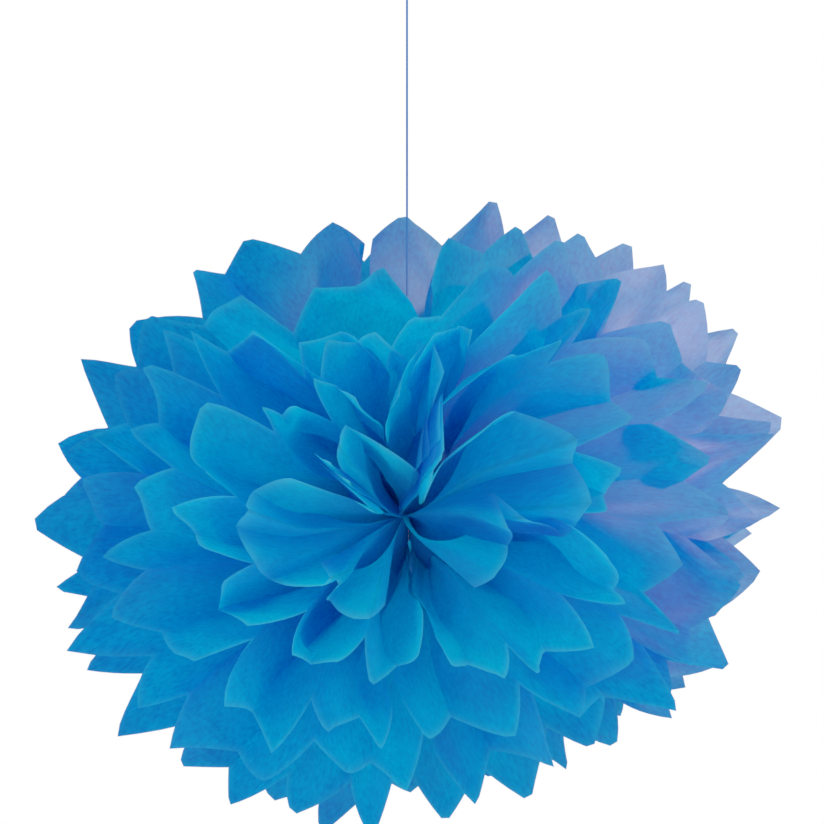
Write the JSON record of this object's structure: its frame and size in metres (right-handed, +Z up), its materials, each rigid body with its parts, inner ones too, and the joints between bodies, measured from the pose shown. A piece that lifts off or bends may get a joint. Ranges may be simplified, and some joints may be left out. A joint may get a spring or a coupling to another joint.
{
  "type": "tissue paper pom pom",
  "caption": "Ball of pleated tissue paper with pointed petals, gathered by a wire at its middle and hung from a loop on a thread.",
  "frame": {"origin": "the crown of the hanging loop at the thread's upper end, where a hook or pin carries the pom pom", "axes": "+Z up along the thread; -Y the front, towards the viewer; the folded strips run along X to the left and right of the wire, five degrees off level"},
  "size_m": [0.4187, 0.4154, 0.5027],
  "materials": {
    "tissue_paper": "matt, translucent blue tissue paper, dyed through",
    "thread": "matt blue thread",
    "tie_wire": "plain bright wire"
  },
  "bodies": {
    "root": {"tissue_sheet_01": "tissue_paper", "tissue_sheet_02": "tissue_paper", "tissue_sheet_03": "tissue_paper", "tissue_sheet_04": "tissue_paper", "tissue_sheet_05": "tissue_paper", "tissue_sheet_06": "tissue_paper", "tissue_sheet_07": "tissue_paper", "tissue_sheet_08": "tissue_paper", "tissue_sheet_09": "tissue_paper", "tissue_sheet_10": "tissue_paper", "centre_tie": "tie_wire", "tie_knot": "thread", "hanging_thread": "thread", "top_knot": "thread", "hanging_loop": "thread"}
  },
  "joints": []
}
